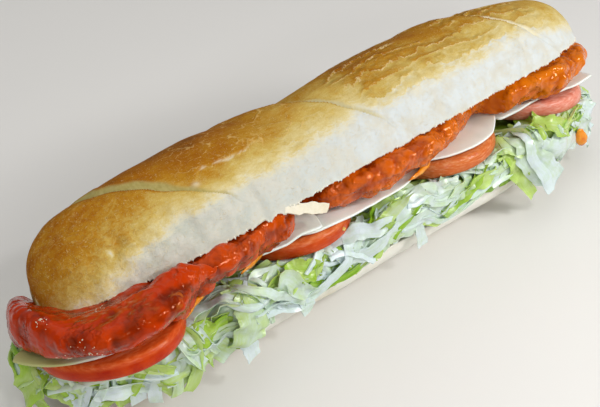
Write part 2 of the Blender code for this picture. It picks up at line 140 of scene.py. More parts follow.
# Leaves and ribs on the front of the heap. Each is a line of places round the heap, over its shoulder and
# up from it; its widths along that line; how green its two ends are; how ruffled it is; and what else
# shapes it. The places round and over the heap began as spots picked on the photo's larger leaves, which
# a scratch program turned into places here. Many were then moved, and the rest is given.
LEAVES = (
    # the -X end and under the first tomato slice
    (((-175, -5, 1), (-172, 4, 3), (-179, 17, 3.5)), (10, 14, 9), (0.8, 0.62), 1.4, {"curl": 0.1}),
    (((-163, -2, 1), (-159, 6, 2), (-157, 13, 2)), (8, 9, 4), (0.6, 0.7), 1),
    (((-157, 2, 1), (-156, 10, 2), (-156, 17, 2.5)), (4, 5, 4), (0.1, 0.05), 0.4),
    (((-150, 0, 1.5), (-152, 8, 2.5), (-155, 18, 3)), (5, 6, 5), (0.12, 0.05), 0.5),
    (((-145, 3, 1.5), (-147, 10, 2), (-149, 18, 2)), (4, 4, 4), (0, 0.1), 0.3),
    (((-149, 11, 3.5), (-139, 14, 4), (-128, 17, 3.5)), (5, 8, 5), (0.05, 0.12), 0.8, {"curl": 0.2}),
    (((-135, 0, 2), (-133, 10, 3), (-133, 24, 3.5)), (5, 6, 6), (0.1, 0.02), 0.4),
    (((-127, 0, 2), (-127, 14, 3.5), (-126, 26, 3)), (5, 6, 5), (0.15, 0.05), 0.5),
    (((-121, 0, 1.5), (-120, 10, 2.5), (-120, 20, 3)), (6, 6, 5), (0.1, 0.1), 0.5),
    (((-114, 0, 2), (-112, 8, 3), (-107, 17, 3.5)), (6, 7, 5), (0.2, 0.1), 0.6),
    # between the first two tomato slices
    (((-110, 3, 1.5), (-102, 6, 3), (-91, 9, 2)), (9, 11, 7), (0.65, 0.75), 1.2),
    (((-110, 8, 1.5), (-98, 15, 3), (-91, 25, 3)), (8, 12, 8), (0.5, 0.25), 1.2),
    (((-82, 0, 2), (-82, 10, 4), (-85, 21, 4)), (12, 16, 13), (0.35, 0.3), 1.2,
     {"curl": -0.12, "crumple": 1}),
    (((-86, 18, 3), (-83, 24, 3.5), (-82, 30, 3)), (6, 8.5, 7), (0.02, 0), 0.6),
    (((-109, 0, 3), (-100, -1, 4.5), (-88, 2, 3)), (4.5, 4.5, 4), (0.1, 0.15), 0.1, {"rib": 1, "spin": 10}),
    (((-88, -2, 3), (-73, 5, 5.5), (-52, 15, 4.5)), (3.5, 4, 3.5), (0.2, 0.1), 0.1, {"rib": 1}),
    (((-64, 8, 2), (-55, 3, 3.5), (-44, 5, 3)), (7, 11, 8), (0.5, 0.65), 1.6, {"curl": 0.1}),
    (((-71, 8, 3), (-60, 4, 5), (-48, 13, 4)), (6, 9, 6), (0.25, 0.2), 0.8, {"curl": 0.2}),
    (((-72, 0, 2), (-62, -5, 3.5), (-55, -1, 3)), (7, 9, 6), (0.15, 0.5), 1),
    (((-55, -4, 3.5), (-50, -3, 4), (-46, -1, 3.5)), (3, 5.5, 3), (0, 0), 0.1, {"thickness": 1.2}),
    (((-54, -9, 2), (-44, -1, 3), (-31, 3, 2)), (4, 6, 4), (0.3, 0.25), 0.5),
    (((-33, 0, 2), (-30, 6, 3)), (4, 5), (0.85, 0.8), 0.8),
    (((-53, 14, 3), (-50, 19, 4), (-49, 24, 3.5)), (4, 7, 5), (0, 0.05), 0.5, {"thickness": 0.9}),
    (((-21, -2, 2.5), (-30, 9, 4.5), (-47, 16, 3.5)), (5, 5.5, 4.5), (0, 0.08), 0.2,
     {"rib": 0.6, "curl": 0.1}),
    # the thin middle of the heap
    (((-25, 11, 2), (-13, 7, 3), (0, 10, 2)), (7, 9, 6), (0.15, 0.2), 0.9),
    (((-19, 3, 2), (-9, 8, 3.5), (4, 17, 3)), (6, 8, 5), (0.1, 0.3), 0.8),
    (((-14, 4, 3.5), (-7, 5, 4), (-1, 6, 3.5)), (2, 3, 2), (0.8, 0.8), 0.4),
    (((-7, -2, 2.5), (2, 0, 4), (12, -1, 3)), (7, 9, 6), (0.55, 0.5), 1, {"curl": 0.1}),
    (((-9, 4, 2), (2, 3, 4), (15, 1, 3)), (5, 6, 4), (0.45, 0.3), 0.7, {"spin": 25}),
    (((-3, 8, 2.5), (5, 5, 4), (12, 3, 3)), (4, 5, 3), (0.15, 0.1), 0.6),
    (((-32, 1, 3), (-16, 2, 5), (-4, 5, 4)), (5, 8, 5), (0, 0.08), 0.6),
    (((-30, 7, 3), (-16, 9, 4.5), (2, 9, 3.5)), (5, 7, 4), (0.1, 0), 0.4),
    (((10, 3, 3), (26, 2, 4.5), (42, 3, 3)), (4, 7, 4), (0.1, 0.2), 0.6),
    (((0, 14, 2), (14, 13, 3.5), (30, 12, 2.5)), (8, 11, 8), (0.1, 0.15), 0.8),
    (((8, 2, 2), (23, 4, 3.5), (44, 5, 2.5)), (7, 10, 7), (0.2, 0.15), 0.8),
    (((15, 16, 3), (17, 22, 3.5), (19, 29, 3)), (4.5, 5.5, 6), (0.1, 0), 0.4),
    (((22, 15, 2), (42, 14, 3), (57, 11, 2.5)), (6, 8, 6), (0.1, 0.15), 0.8),
    (((29, 11, 2), (39, 6, 3.5), (50, 5, 2.5)), (7, 9, 6), (0.2, 0.3), 1),
    (((45, 7, 2.5), (55, 6, 4), (66, 6, 3)), (5, 8, 5), (0.55, 0.45), 1, {"curl": 0.1}),
    (((62, -2, 3), (74, 1, 5), (84, 6, 5)), (6, 9, 7), (0.42, 0.35), 1),
    # the fan of leaves that hangs by the last tomato slice, and the +X end
    (((86, -12, 2), (83, 0, 4.5), (88, 12, 6), (102, 29, 7)), (8, 14, 17, 12), (0.35, 0.05), 1.5),
    (((83, -8, 2), (75, 4, 4), (82, 18, 5.5), (90, 31, 6)), (6, 9, 9, 5), (0.7, 0.45), 1.4),
    (((87, -12, 3), (84, 4, 6), (92, 18, 8), (97, 32, 8)), (4, 5, 6, 5), (0.1, 0), 0.4, {"rib": 0.6}),
    (((101, -14, 2), (110, -6, 5), (124, -4, 5)), (8, 11, 8), (0.62, 0.6), 1.3, {"curl": 0.15}),
    (((106, -5, 5), (118, -5, 8), (132, -6, 7)), (6, 9, 6), (0.7, 0.62), 1.3, {"curl": 0.15}),
    (((90, -4, 2), (102, 2, 4), (126, 8, 3)), (8, 11, 8), (0.55, 0.5), 1.3, {"curl": 0.15}),
    (((86, 2, 2.5), (98, 10, 5), (120, 15, 5), (134, 20, 4)), (8, 13, 13, 9), (0.15, 0.1), 1,
     {"curl": -0.15}),
    (((134, -6, 2), (146, -4, 4), (158, -6, 3)), (7, 9, 7), (0.05, 0.15), 1.4),
    (((136, 2, 2), (144, 8, 4), (146, 20, 4)), (7, 10, 7), (0.1, 0.05), 1.6),
    (((134, 10, 3), (141, 16, 4.5), (146, 26, 4)), (8, 10, 8), (0.15, 0.05), 1.6),
    (((150, -2, 2), (156, 8, 3.5), (158, 18, 3.5)), (7, 9, 6), (0.05, 0.1), 1.2),
)

# Each light: where it stands, what it faces, its size, its power and its colour
LIGHTS = {
    "key": ((400, -450, 400), (20, 0, 40), 150, 2.2, (1.0, 0.99, 0.98)),
    "sparkle": ((200, -420, 560), (0, 0, 40), 50, 0.9, (1.0, 1.0, 1.0)),
    "glint": ((-180, -560, 420), (-40, 0, 40), 70, 0.7, (1.0, 1.0, 1.0)),
    "fill": ((-640, -440, 620), (-40, 0, 40), 1000, 2.2, (1.0, 0.99, 0.97)),
    "top": ((-100, 300, 900), (0, 0, 40), 1200, 3.4, (1.0, 0.99, 0.97)),
}

# --- numbers ---


def smooth_step(value):
    """0 up to 0, 1 from 1 on, and a smooth rise between."""
    clipped = np.clip(value, 0, 1)
    return clipped * clipped * (3 - 2 * clipped)


def rise(value, start, end):
    """0 at start, 1 at end, a smooth rise between, and level beyond. It falls where end is the lower one."""
    return smooth_step((value - start) / (end - start))


def bell(value, middle, width):
    """1 at the middle, and a smooth fall over a width to each side."""
    return np.exp(-(((value - middle) / width) ** 2))


def fading(value, length):
    """1 up to 0, and a fall beyond it, to about a third over a length."""
    return np.exp(-np.maximum(value, 0) / length)


def scatter(cell):
    """A repeatable value from -1 to 1 for each whole-numbered cell of space."""
    mixed = (cell * np.array((73856093, 19349663, 83492791))).sum(-1)
    mixed = ((mixed ^ (mixed >> 13)) * 1274126177) & 0x7FFFFFFF
    mixed ^= mixed >> 15
    return (mixed & 0xFFFF) / 32767.5 - 1


def cloud(points, size, seed=0, octaves=3):
    """Smooth noise from about -1 to 1 at points, whose largest lumps are as wide as size."""
    place = np.asarray(points) / size + 31.7 * seed + 1000
    total, weight, whole = 0.0, 1.0, 0.0
    for _ in range(octaves):
        cell = np.floor(place).astype(np.int64)
        part = smooth_step(place - cell)
        value = 0.0
        for corner in np.ndindex(2, 2, 2):
            near = np.prod(np.where(corner, part, 1 - part), axis=-1)
            value = value + near * scatter(cell + corner)
        total = total + weight * value
        whole += weight
        weight *= 0.5
        place = place * 2.03 + 5.1
    return total / whole * 1.6


def along_line(x, points):
    """The value at x of a line through points."""
    return np.interp(x, *zip(*points))


def at_steps(steps, rows):
    """What rows hold at whole and part steps along them."""
    return np.array([np.interp(steps, np.arange(len(rows)), column) for column in zip(*rows)]).T


def stack(*parts):
    """Points from arrays or numbers of their coordinates."""
    return np.stack(np.broadcast_arrays(*parts), axis=-1).astype(float)


def unit(vectors):
    """Vectors of length 1."""
    return vectors / np.maximum(np.linalg.norm(vectors, axis=-1, keepdims=True), 1e-9)


def turned(across, up, tilt):
    """Where a place across and up comes to lie when its back is tilted down."""
    return across * math.cos(tilt) + up * math.sin(tilt), up * math.cos(tilt) - across * math.sin(tilt)


def evened(values, count, edge, **how):
    """Each value's mean with its neighbours, a count in all, carried on past the ends as np.pad does it."""
    return np.convolve(np.pad(values, count // 2, edge, **how), np.ones(count) / count, "valid")


def whole_turn(count):
    """Angles once round, in a row."""
    return np.linspace(0, 2 * math.pi, count, endpoint=False)[None, :]


def roll_shares(count):
    """Places from -1 to 1 along the roll, in a column, closest together at its ends."""
    return np.sin(np.linspace(-0.975, 0.975, count) * math.pi / 2)[:, None]


def end_rounding(share):
    """Width left at a place from -1 to 1 along the roll, whose ends are rounded."""
    return np.maximum(0, 1 - np.abs(share) ** END_BLUNTNESS) ** END_POWER


# --- pieces ---


def add_object(name, data):
    """A new object in the scene."""
    made = bpy.data.objects.new(name, data)
    bpy.context.scene.collection.objects.link(made)
    return made


def closed_faces(rings, points):
    """Quads round and along a tube of rings, and a fan to one point at each end."""
    ids = np.arange(rings * points).reshape(rings, points)
    after = np.roll(ids, -1, axis=1)
    quads = np.stack((ids[:-1], after[:-1], after[1:], ids[1:]), axis=-1).reshape(-1, 4).tolist()
    first, last = rings * points, rings * points + 1
    quads += [(first, b, a) for a, b in zip(ids[0], after[0])]
    quads += [(last, a, b) for a, b in zip(ids[-1], after[-1])]
    return quads


def make_piece(name, points, faces, finish, replaced=(), marks=None, sharp=0):
    """A mesh in millimetres that rides on the sandwich. marks are values at its points for the finish.

    It is smooth, but for edges that bend more than sharp degrees.
    """
    data = bpy.data.meshes.new(name)
    data.from_pydata((np.asarray(points) * MM).tolist(), [], faces)
    for mark, values in (marks or {}).items():
        values = np.asarray(values, np.float32)
        kind, key = ("FLOAT_VECTOR", "vector") if values.ndim == 2 else ("FLOAT", "value")
        data.attributes.new(mark, kind, "POINT").data.foreach_set(key, values.ravel())
    shape = bmesh.new()
    shape.from_mesh(data)
    bmesh.ops.recalc_face_normals(shape, faces=shape.faces)
    shape.to_mesh(data)
    shape.free()
    data.shade_smooth()
    if sharp:
        data.set_sharp_from_angle(angle=math.radians(sharp))
    data.materials.append(finish)
    piece = add_object(name, data)
    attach(piece, "root")
    if replaced:
        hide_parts(*replaced)


def make_tube(name, rings, tips, finish, replaced=(), marks=None):
    """A closed piece from rings of points and a tip at each end. A tip's marks are its ring's mean."""
    whole = {
        mark: np.concatenate((values.ravel(), (values[0].mean(), values[-1].mean())))
        for mark, values in (marks or {}).items()
    }
    points = np.concatenate((rings.reshape(-1, 3), np.asarray(tips, float)))
    make_piece(name, points, closed_faces(*rings.shape[:2]), finish, replaced, whole)


def join(name, parts, finish, sharp=0):
    """One piece from many closed parts, each with its points, its faces and its marks."""
    points, faces, start = [], [], 0
    for part, part_faces, _ in parts:
        points.append(part)
        faces += [tuple(corner + start for corner in face) for face in part_faces]
        start += len(part)
    marks = {mark: np.concatenate([part[2][mark] for part in parts]) for mark in parts[0][2]}
    make_piece(name, np.concatenate(points), faces, finish, marks=marks, sharp=sharp)


def fine_copy(node, voxel, levels, soft):
    """Points, faces and normals of a CAD node's shape, smoothed and laid out evenly, in millimetres."""
    source = add_object("source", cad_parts[node].data.copy())
    steps = (("WELD", "merge_threshold", 0.01 * MM), ("SUBSURF", "levels", levels),
             ("REMESH", "voxel_size", voxel * MM), ("SMOOTH", "iterations", soft))
    for kind, setting, value in steps:
        setattr(source.modifiers.new(kind, kind), setting, value)
    made = bpy.data.meshes.new_from_object(source.evaluated_get(bpy.context.evaluated_depsgraph_get()))
    points = np.array([corner.co for corner in made.vertices]) / MM
    normals = np.array([corner.normal for corner in made.vertices])
    faces = [tuple(face.vertices) for face in made.polygons]
    bpy.data.objects.remove(source)
    bpy.data.meshes.remove(made)
    return points, faces, normals


# --- finishes ---


def tone(red, green, blue):
    """A linear colour from its 0 to 255 screen values."""
    shares = [part / 255 for part in (red, green, blue)]
    return (*[s / 12.92 if s <= 0.04045 else ((s + 0.055) / 1.055) ** 2.4 for s in shares], 1.0)


class Finish:
    """A node material. Most methods add a node and return its output, for the next one to use."""

    SOCKETS = {
        "gloss": "Specular IOR Level",
        "tint": "Specular Tint",
        "soft": "Subsurface Weight",
        "depth": "Subsurface Scale",
        "spread": "Subsurface Radius",
    }

    def __init__(self, name):
        self.material = bpy.data.materials.new(name)
        self.material.use_nodes = True
        self.tree = self.material.node_tree
        place = self.node("TexCoord", output="Object")
        self.place = self.node("VectorMath", {0: place, "Scale": 1 / MM}, operation="SCALE")

    def node(self, kind, inputs=None, output=0, **settings):
        made = self.tree.nodes.new("ShaderNode" + kind)
        for setting, value in settings.items():
            setattr(made, setting, value)
        self.fill(made, inputs or {})
        return made.outputs[output]

    def fill(self, node, inputs):
        for key, value in inputs.items():
            if isinstance(value, bpy.types.NodeSocket):
                self.tree.links.new(value, node.inputs[key])
            else:
                node.inputs[key].default_value = value

    def mark(self, name, output="Fac"):
        return self.node("Attribute", output=output, attribute_name=name)

    def along(self):
        """The place along the roll."""
        return self.node("SeparateXYZ", {0: self.place})

    def stretched(self, place, stretch):
        place = place or self.place
        return self.node("VectorMath", {0: place, 1: stretch}, operation="MULTIPLY") if stretch else place

    def noise(self, size, detail=3, stretch=None, place=None, distortion=0.0):
        inputs = {"Vector": self.stretched(place, stretch), "Scale": 1 / size, "Detail": detail}
        return self.node("TexNoise", {**inputs, "Roughness": 0.55, "Distortion": distortion})

    def cells(self, size, stretch=None, place=None, feature="DISTANCE_TO_EDGE"):
        inputs = {"Vector": self.stretched(place, stretch), "Scale": 1 / size}
        return self.node("TexVoronoi", inputs, feature=feature)

    def warped(self, size, amount):
        """The place, moved about by noise so that lines through it wander."""
        wander = self.node("TexNoise", {"Vector": self.place, "Scale": 1 / size, "Detail": 3.0}, "Color")
        centred = self.node("VectorMath", {0: wander, 1: (0.5, 0.5, 0.5)}, operation="SUBTRACT")
        inputs = {0: centred, 1: (2 * amount,) * 3, 2: self.place}
        return self.node("VectorMath", inputs, operation="MULTIPLY_ADD")

    def ramp(self, value, *stops):
        """A colour by value, from stops that each have a position and a colour's screen values."""
        colour = self.node("ValToRGB", {0: value})
        elements = colour.node.color_ramp.elements
        while len(elements) < len(stops):
            elements.new(1.0)
        for element, (position, *shown) in zip(elements, stops):
            element.position = position
            element.color = tone(*shown)
        return colour

    def between(self, value, low, high):
        """A share that rises smoothly from low to high, or falls where high is the lower one."""
        inputs = {"Value": value, "From Min": low, "From Max": high}
        return self.node("MapRange", inputs, interpolation_type="SMOOTHSTEP")

    def maths(self, operation, first, second=0.0, third=0.0):
        return self.node("Math", {0: first, 1: second, 2: third}, operation=operation)

    def times(self, first, *others):
        for other in others:
            first = self.maths("MULTIPLY", first, other)
        return first

    def vary(self, value, noise, amount):
        """A value, raised and lowered by noise."""
        return self.maths("MULTIPLY_ADD", self.maths("SUBTRACT", noise, 0.5), amount, value)

    def mix(self, share, first, second):
        """One colour turned into another by a share. They are outputs or screen values."""
        first, second = (tone(*part) if isinstance(part, tuple) else part for part in (first, second))
        return self.node("Mix", {0: share, 6: first, 7: second}, 2, data_type="RGBA")

    def bumps(self, *layers):
        """A normal from layers of bumps, each with its heights, its depth and its strength."""
        inputs = {}
        for height, depth, strength in layers:
            inputs.update({"Height": height, "Distance": depth * MM, "Strength": strength})
            inputs["Normal"] = self.node("Bump", inputs)
        return inputs["Normal"]

    def done(self, colour, roughness, normal, **settings):
        """The material, with its uniform settings on the shader's own sockets."""
        inputs = {"Base Color": colour, "Roughness": roughness, "Normal": normal}
        inputs.update({self.SOCKETS[setting]: value for setting, value in settings.items()})
        self.fill(self.tree.nodes["Principled BSDF"], inputs)
        return self.material


def crust_finish():
    """Baked crust: white flour, greyer towards the -X end with painted shade, gold and brown by its mark,
    with flecks, flaky layers and pale slashes whose channels carry painted shade.
    """
    f = Finish("baked_crust")
    names = ("brown", "band", "flaky", "slash", "crumb", "cracked")
    brown, band, flaky, slash, crumb, cracked = (f.mark(name) for name in names)
    x = f.along()
    streak = f.noise(1.5, 4, (0.35, 1, 1), distortion=0.8)
    speck = f.noise(0.5, 2)
    fleck = f.between(f.noise(1.0, 3, distortion=1.6), 0.56, 0.7)
    within = f.maths("FRACT", f.vary(band, f.noise(2.2, 4), 0.7))
    step = f.times(f.maths("SUBTRACT", 0.5, within), flaky)
    level = f.vary(brown, f.noise(9, 4), f.maths("MULTIPLY_ADD", f.between(brown, 0.0, 0.35), 0.34, 0.08))
    level = f.vary(level, f.noise(2.6, 3, distortion=1.0), f.times(f.between(x, -88, -112), 0.34))
    level = f.vary(f.vary(level, streak, 0.26), speck, 0.16)
    level = f.maths("MULTIPLY_ADD", step, 0.2, level)
    colour = f.ramp(level, (0.12, 214, 206, 176), (0.25, 206, 188, 130), (0.4, 192, 163, 84),
                    (0.6, 172, 122, 30), (0.8, 154, 92, 8), (1.0, 112, 62, 5))
    # Painted shade: the flour is greyer towards the -X end, where less light falls.
    flour = f.mix(f.between(x, -120, 20), (180, 182, 168), (206, 211, 210))
    flour = f.mix(f.between(f.noise(7, 4), 0.35, 0.7), flour, (202, 200, 188))
    colour = f.mix(f.between(level, 0.0, 0.2), flour, colour)
    colour = f.mix(f.times(fleck, 0.36), colour, (228, 204, 146))
    edge = f.times(f.between(within, 0.1, 0.02), flaky, f.between(f.noise(5, 3), 0.38, 0.55))
    colour = f.mix(f.times(edge, 0.7), colour, (232, 212, 156))
    crack = f.between(f.cells(9, (0.6, 1, 1), f.warped(6, 5)), 0.045, 0.0)
    crack = f.times(crack, cracked, f.between(f.noise(4, 3), 0.4, 0.6))
    colour = f.mix(f.times(crack, 0.55), colour, (226, 190, 120))
    # The slashes' channels are pale dough, painted darker and greener towards the -X end: painted shade in
    # the groove.
    pale = f.mix(f.noise(1.6, 3, (1, 0.6, 0.6)), (150, 134, 62), (190, 176, 118))
    pale = f.mix(f.between(x, -50, 60), pale, (222, 214, 184))
    colour = f.mix(slash, colour, pale)
    colour = f.mix(crumb, colour, f.mix(f.noise(2.5, 4), (206, 196, 166), (236, 232, 220)))
    layers = ((f.noise(4, 4), 0.5, 0.5), (step, 0.8, 0.9), (streak, 0.3, 0.6), (fleck, 0.25, 0.6))
    normal = f.bumps(*layers, (speck, 0.12, 0.6), (crack, 0.3, 0.7))
    return f.done(colour, 0.78, normal, gloss=0.08)


def lower_crust_finish(name):
    """The lower half's pale crust, tan where it lay on the tray, and its white crumb."""
    f = Finish(name)
    level = f.vary(f.vary(f.mark("brown"), f.noise(9, 4), 0.5), f.noise(1.2, 3), 0.2)
    stops = ((0.0, 234, 232, 222), (0.3, 222, 212, 184), (0.6, 190, 150, 86), (1.0, 146, 94, 34))
    colour = f.ramp(level, *stops)
    colour = f.mix(f.mark("crumb"), colour, f.mix(f.noise(2, 4), (216, 210, 190), (238, 236, 228)))
    return f.done(colour, 0.72, f.bumps((f.noise(4, 4), 0.5, 0.5), (f.noise(0.8, 3), 0.15, 0.5)), gloss=0.2)


def chicken_finish(number):
    """Breading under glossy hot sauce, redder at the -X end and more orange at the other, and darker at the
    -X end with painted shade.
    """
    f = Finish(f"sauced_breading_{number + 1}")
    x = f.along()
    # Towards the -X end the sauce is redder, and also darker: painted shade, as less light falls there.
    side = f.vary(f.between(x, -150, 130), f.noise(14), 0.35)
    bright = f.ramp(side, (0.0, 180, 46, 0), (0.45, 200, 84, 2), (1.0, 208, 108, 2))
    deep = f.ramp(side, (0.0, 110, 24, 0), (0.5, 158, 54, 0), (1.0, 184, 84, 0))
    thick = f.vary(f.mark("hollow"), f.noise(6, 4), 1.1)
    colour = f.mix(f.between(thick, 0.15, 0.95), bright, deep)
    bare = f.times(f.between(f.noise(5, 4), 0.52, 0.66), f.mark("bare"))
    colour = f.mix(f.times(bare, 0.8), colour, (184, 98, 34))
    coarse = f.times(f.between(x, -40, 0), f.between(x, 90, 60))
    grainy = f.maths("ADD", f.between(f.noise(9, 3), 0.5, 0.62), f.times(coarse, 0.6))
    grains = f.times(f.cells(1.7, feature="SMOOTH_F1"), grainy)
    normal = f.bumps((f.noise(4.2, 1), 1.0, 0.8), (grains, 0.8, 1.0))
    roughness = f.maths("MULTIPLY_ADD", grainy, 0.05, 0.08)
    return f.done(colour, roughness, normal, gloss=CHICKEN_GLOSS[number], tint=(1.0, 0.5, 0.28, 1.0))


def tomato_finish():
    """Tomato flesh with fine pale streaks, pinker at the +X end, and glossy red skin round its edge."""
    f = Finish("tomato_slice")
    x = f.along()
    streaks = f.noise(1.1, 4, (0.25, 0.5, 1.6))
    red = f.ramp(streaks, (0.25, 198, 66, 16), (0.5, 212, 88, 34), (0.75, 224, 120, 68))
    rosy = f.ramp(streaks, (0.25, 194, 90, 36), (0.5, 206, 114, 58), (0.75, 222, 156, 108))
    pink = f.ramp(streaks, (0.25, 214, 118, 88), (0.5, 222, 142, 120), (0.75, 234, 186, 170))
    flesh = f.mix(f.between(x, -110, 40), red, f.mix(f.between(x, 80, 110), rosy, pink))
    colour = f.mix(f.mark("skin"), flesh, f.ramp(f.noise(7, 3), (0.3, 168, 34, 0), (0.7, 200, 66, 8)))
    return f.done(colour, 0.2, f.bumps((streaks, 0.3, 0.6), (f.noise(5, 3), 0.5, 0.5)), gloss=0.16)


def cheese_finish():
    """Soft off-white cheese, darker and yellower at the -X tip with painted shade, and stained orange where
    sauce lies by it.
    """
    f = Finish("white_cheese")
    base = f.ramp(f.noise(13, 3), (0.3, 228, 237, 228), (0.7, 240, 247, 241))
    # Painted shade: the -X tip is darker and yellower, as less light falls there.
    base = f.mix(f.between(f.along(), -140, -156), base, (178, 180, 118))
    stain = f.vary(f.mark("stain"), f.noise(9, 4), 1.3)
    colour = f.mix(f.between(stain, 0.8, 1.2), base, (232, 140, 16))
    normal = f.bumps((f.noise(8, 3), 0.3, 0.4), (f.noise(0.9, 3), 0.05, 0.5))
    return f.done(colour, 0.4, normal, gloss=0.3, soft=0.2, depth=0.002, spread=(1.0, 0.9, 0.7))


def lettuce_finish(name, painted_shade=0.0):
    """Lettuce from white rib to green leaf by its tint, with veins along each shred, darkened by a share of
    painted shade.
    """
    f = Finish(name)
    tint, leaf = f.mark("tint"), f.mark("leaf", "Vector")
    vein = f.times(f.between(f.cells(9, (0.35, 1.2, 1), leaf), 0.1, 0.0), f.between(tint, 0.3, 0.7))
    fibres = f.noise(0.9, 4, (0.1, 1, 1), leaf)
    level = f.vary(f.vary(tint, f.noise(6, 3), 0.5), fibres, 0.3)
    colour = f.ramp(level, (0.0, 213, 231, 231), (0.22, 195, 220, 188), (0.45, 182, 212, 112),
                    (0.7, 152, 192, 44), (1.0, 108, 152, 16))
    colour = f.mix(f.times(vein, 0.16), colour, (220, 232, 190))
    # Painted shade: the colour is turned towards a dark green by the given share.
    colour = f.mix(painted_shade, colour, (92, 104, 34))
    normal = f.bumps((vein, 0.12, 0.5), (fibres, 0.1, 0.5), (f.noise(2.6, 3), 0.5, 0.5))
    return f.done(colour, 0.27, normal, gloss=0.5, soft=0.4, depth=0.003, spread=(0.9, 1.0, 0.8))


def sauce_finish():
    """Thin orange sauce that ran off the chicken."""
    f = Finish("thin_sauce")
    colour = f.ramp(f.noise(3, 3), (0.3, 220, 116, 8), (0.7, 236, 158, 26))
    return f.done(colour, 0.14, f.bumps((f.noise(2.5, 2), 0.3, 0.4)), gloss=0.45)


def seed_finish():
    """Yellow tomato seeds in their jelly."""
    f = Finish("tomato_seed")
    colour = f.ramp(f.noise(1.2, 2), (0.3, 206, 160, 60), (0.7, 226, 192, 110))
    return f.done(colour, 0.2, f.bumps((f.noise(0.8, 2), 0.1, 0.4)), gloss=0.4)


# --- the roll ---


def slash_parts(x, degrees):
    """Relief of the three slashes, how much a place lies in their pale channels, and how much on a lip,
    where a painted shadow goes.
    """
    raised, channel, lip_shadow = 0.0, 0.0, 0.0
    for number, (crossing, slant, start) in enumerate(SLASHES):
        faded = rise(degrees, start, start + 14) * rise(degrees, SLASH_END, SLASH_END - 20)
        wander = 0.4 * np.sin(degrees / 6 + 2 * number) + 0.3 * np.sin(degrees / 2.3 + number)
        squared = math.cos(math.atan2(slant, math.radians(1) * LID_HALF_WIDTH))
        distance = (x - (crossing + slant * (SLASH_CROSSING - degrees))) * squared + wander
        beyond = distance - along_line(degrees, SLASH_LIPS[number])
        past = beyond - along_line(degrees, SLASH_WIDTHS[number])
        inside = smooth_step(beyond / 0.7)
        relief = SLASH_EAR * bell(beyond, -5, SLASH_HALF_WIDTH)
        relief = relief - 0.6 * SLASH_DEPTH * bell(distance, 0, SLASH_HALF_WIDTH)
        relief = relief + 1.5 * fading(-beyond, 6) * (1 - inside) + 0.8 * bell(past, 1, 1.2)
        relief = relief - 1.1 * inside * fading(beyond, 4)
        raised = raised + relief * faded
        channel = np.maximum(channel, inside * rise(past, 1.2, 0) * faded * rise(degrees, 18, 30))
        # Where each lip lies, for the painted shadow of its ear that is browned in later.
        lip_shadow = np.maximum(lip_shadow, faded * bell(beyond, 0, 0.7))
    return raised, channel, lip_shadow


def lid_rise(x):
    """Height of the dome at a place along it."""
    height = LID_RISES[0][1]
    for (start, low), (end, high) in zip(LID_RISES, LID_RISES[1:]):
        height = height + (high - low) * rise(x, start, end)
    return height


def lid_place(x, across, up):
    """Points from the upper half's own frame, which leans back by the tilt."""
    y, z = turned(across, up, LID_TILT)
    return LID_CENTRE + stack(x, y + LID_SKEW * x, z + LID_SKEW * x)


def lid_dome(x, degrees, raised=0.0):
    """Points on the dome, at places along it and up from its front edge."""
    rounding = end_rounding(x / HALF_LENGTH)
    angle = np.radians(degrees)
    raised = raised * np.minimum(1, rounding * 1.5)
    across = -(LID_HALF_WIDTH * rounding + raised) * np.cos(angle)
    up = (lid_rise(x) * rounding**0.6 + raised) * np.sin(angle)
    return lid_place(x, across, up)


def flakes(x, degrees, base):
    """Thin layers of crust with ragged lengthwise edges: which layer a place is in, and how flaky it is."""
    wandering = degrees + 9 * cloud(base * (0.45, 1, 1), 15, 5) + 3 * cloud(base, 4, 6, 2)
    flaky = rise(cloud(base, 22, 8, 2) + 0.8 * rise(x, -30, 20), 0.2, 0.6)
    return wandering / 10, flaky * rise(degrees, 26, 36) * rise(x, 128, 113) * rise(x, -60, -40)


def torn_flake(x, degrees, base):
    """The torn edge of one layer of crust: how much a place lies above it, and on it."""
    beyond = degrees - along_line(x, TORN_FLAKE) + 1.6 * cloud(base, 3, 9, 2)
    first, last = TORN_FLAKE[0][0], TORN_FLAKE[-1][0]
    near = rise(x, first, first + 4) * rise(x, last, last - 4)
    line = bell(beyond, -0.4, 0.6) * smooth_step(0.5 + 1.2 * cloud(base, 5, 10, 2))
    return near * rise(beyond, 0, 0.8) * fading(beyond, 14), near * line


def crust_lumps(x, degrees, base):
    """Large and small lumps of the crust, and finer ones towards its front edge."""
    lumps = 0.55 * cloud(base, 26, 1, 2) + 0.22 * cloud(base, 6, 2) * (0.5 + rise(degrees, 60, 20))
    fine = 0.5 * cloud(stack(x, degrees / 3, 0), 6, 3, 2) + 0.2 * cloud(base * (1, 0.3, 0.3), 2, 4)
    return lumps + fine * rise(degrees, 50, 20)


def nose_creases(x, degrees):
    """The dent and the creases in the roll's -X end, beside the first slash."""
    creases = bell(x + 0.25 * (degrees - 30), -121, 2.2) * rise(degrees, 14, 28) * rise(degrees, 52, 32)
    return -1.5 * bell(x, -124, 3) * bell(degrees, 29, 4.5) - 0.7 * creases


def brown_level(x, degrees, base):
    """How far the crust has browned, from 0 under flour to 1 along the top."""
    up = degrees - along_line(x, BROWNING_START) + 4 * cloud(base, 14, 11)
    back_flour = 150 + 8 * cloud(base, 14, 12)
    level = along_line(x, BROWNEST) * (1 - fading(up, BROWNING_REACH))
    return level * (1 - 0.75 * smooth_step((degrees - back_flour) / 18))


def teeth(x, degrees):
    """How far the dome is torn away, in small teeth along its two cut edges."""
    line = stack(x[:, :1], 0, 0)
    depth = 1.3 * np.abs(cloud(line, 1.7, 21, 2)) + 1.3 * smooth_step((cloud(line, 5, 22, 2) - 0.35) * 3)
    depth = depth * (1 - 0.5 * rise(x[:, :1], -40, -10)) - 0.4
    return depth * (rise(degrees, 6, 0) + rise(degrees, 174, 180))


